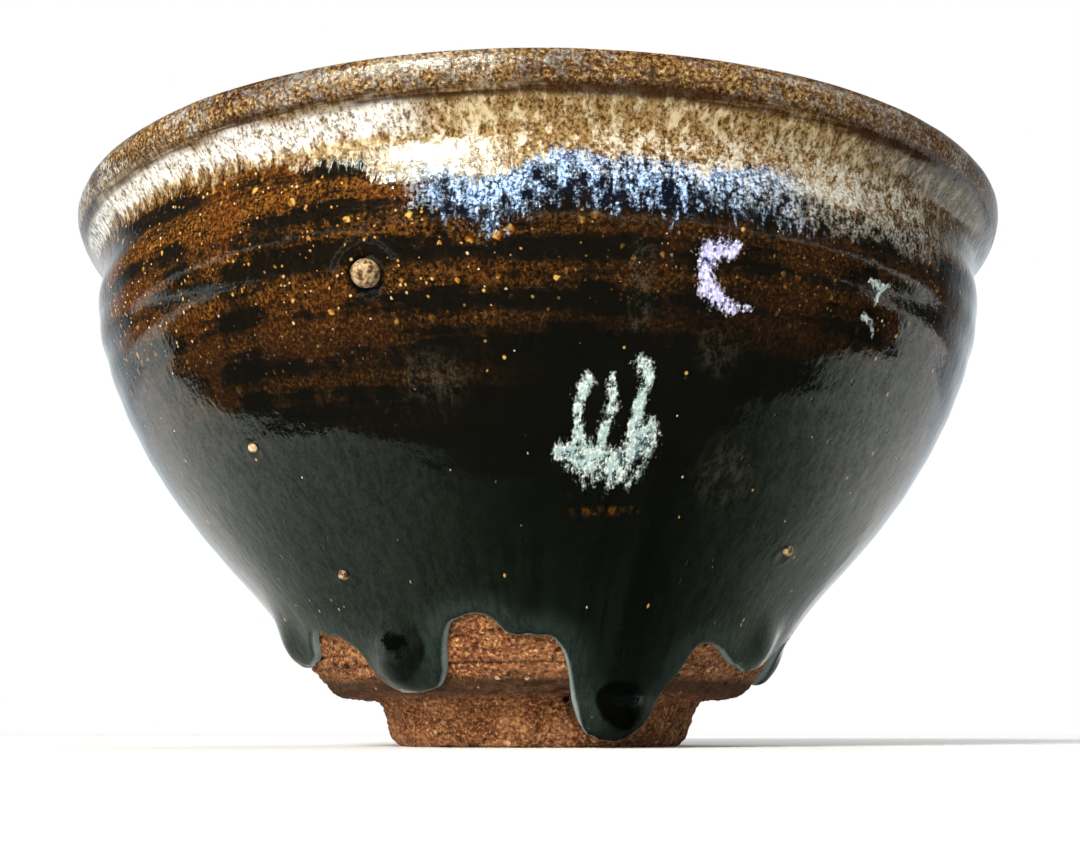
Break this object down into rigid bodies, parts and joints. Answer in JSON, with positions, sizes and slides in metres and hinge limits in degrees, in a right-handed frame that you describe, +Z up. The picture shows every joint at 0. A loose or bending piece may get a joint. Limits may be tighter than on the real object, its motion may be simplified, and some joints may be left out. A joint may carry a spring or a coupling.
{
  "type": "tea bowl",
  "caption": "Footed stoneware tea bowl with a rolled lip, drawn-in throat, flaring wall, pooled well and thick dark glaze running down towards a bare turned foot.",
  "frame": {"origin": "centre of the foot ring's resting face", "axes": "+Z up along the throwing axis, towards the mouth; -Y is the bowl's front, where the longest glaze run is"},
  "size_m": [0.122, 0.122, 0.0674],
  "materials": {
    "clay": "bare fired iron-bearing clay, gritty and matt, with turning lines",
    "outer_glaze": "thick glossy iron glaze: pale blue-white fur under the lip, amber-brown below it, then nearly black",
    "lip_glaze": "thin glossy glaze, mottled tan and brown over the lip",
    "inner_glaze": "glossy iron glaze, brown and streaked high up, nearly black low down",
    "run_glaze": "very thick glossy blue-black glaze with rounded edges",
    "pool_glaze": "deep glossy glaze pool, nearly black with a faint blue-white bloom",
    "grit": "pale feldspar grain, half melted"
  },
  "bodies": {
    "root": {"clay_body": "clay", "outer_glaze": "outer_glaze", "lip_glaze": "lip_glaze", "inner_glaze": "inner_glaze", "glaze_runs": "run_glaze", "well_pool": "pool_glaze", "grit_grains": "grit"}
  },
  "joints": []
}
